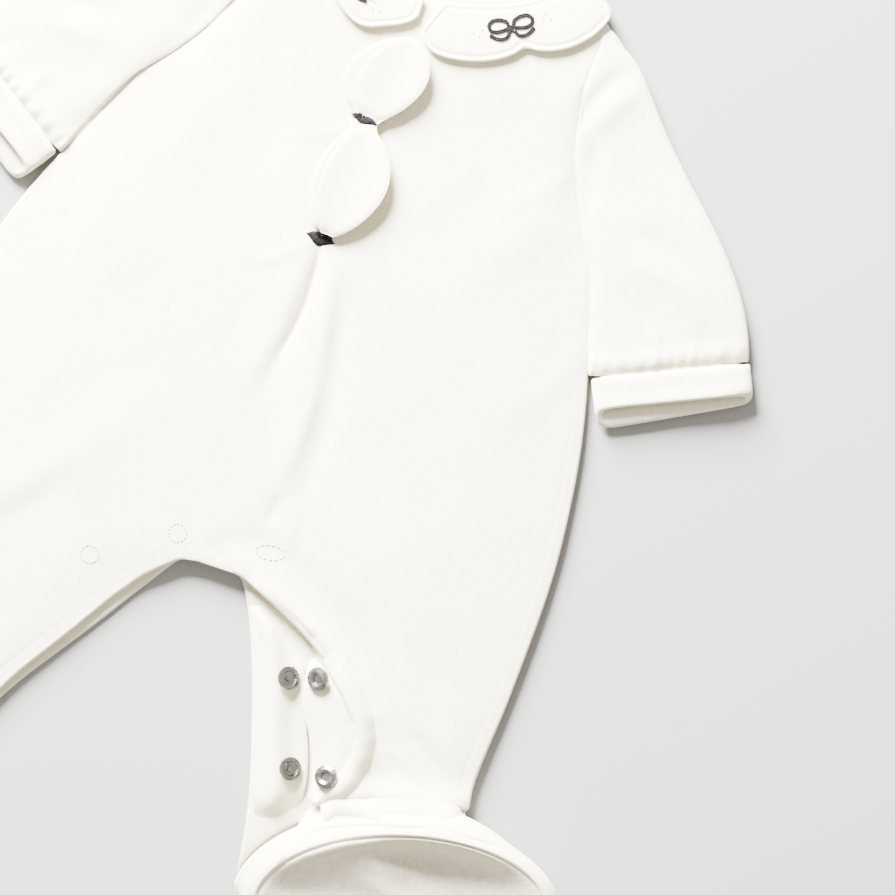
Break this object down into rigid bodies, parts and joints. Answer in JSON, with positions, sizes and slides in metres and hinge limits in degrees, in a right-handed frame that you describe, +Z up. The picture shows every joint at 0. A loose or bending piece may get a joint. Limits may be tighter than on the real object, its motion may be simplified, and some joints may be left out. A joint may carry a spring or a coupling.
{
  "type": "footed baby sleepsuit",
  "caption": "Long-sleeved footed baby sleepsuit laid flat on its back, with scalloped collar, petal placket, snap inseam and soles.",
  "frame": {"origin": "bottom centre of the bounding box, on the surface the garment lies on", "axes": "+X to the wearer's left, +Y to the head end, +Z up out of the surface"},
  "size_m": [0.405, 0.444, 0.0213],
  "materials": {
    "velour": "soft nap",
    "nickel": "polished"
  },
  "bodies": {
    "root": {"back": "velour", "front": "velour", "sleeve_left": "velour", "sleeve_right": "velour", "cuff_left": "velour", "cuff_right": "velour", "collar_left": "velour", "collar_right": "velour", "petals_lower": "velour", "petals_upper": "velour", "leg_strip": "velour", "leg_facing": "velour", "foot_upper_left": "velour", "foot_upper_right": "velour", "sole_left": "velour", "sole_right": "velour", "snap_stud_1": "nickel", "snap_stud_2": "nickel", "snap_socket_1": "nickel", "snap_socket_2": "nickel"}
  },
  "joints": []
}
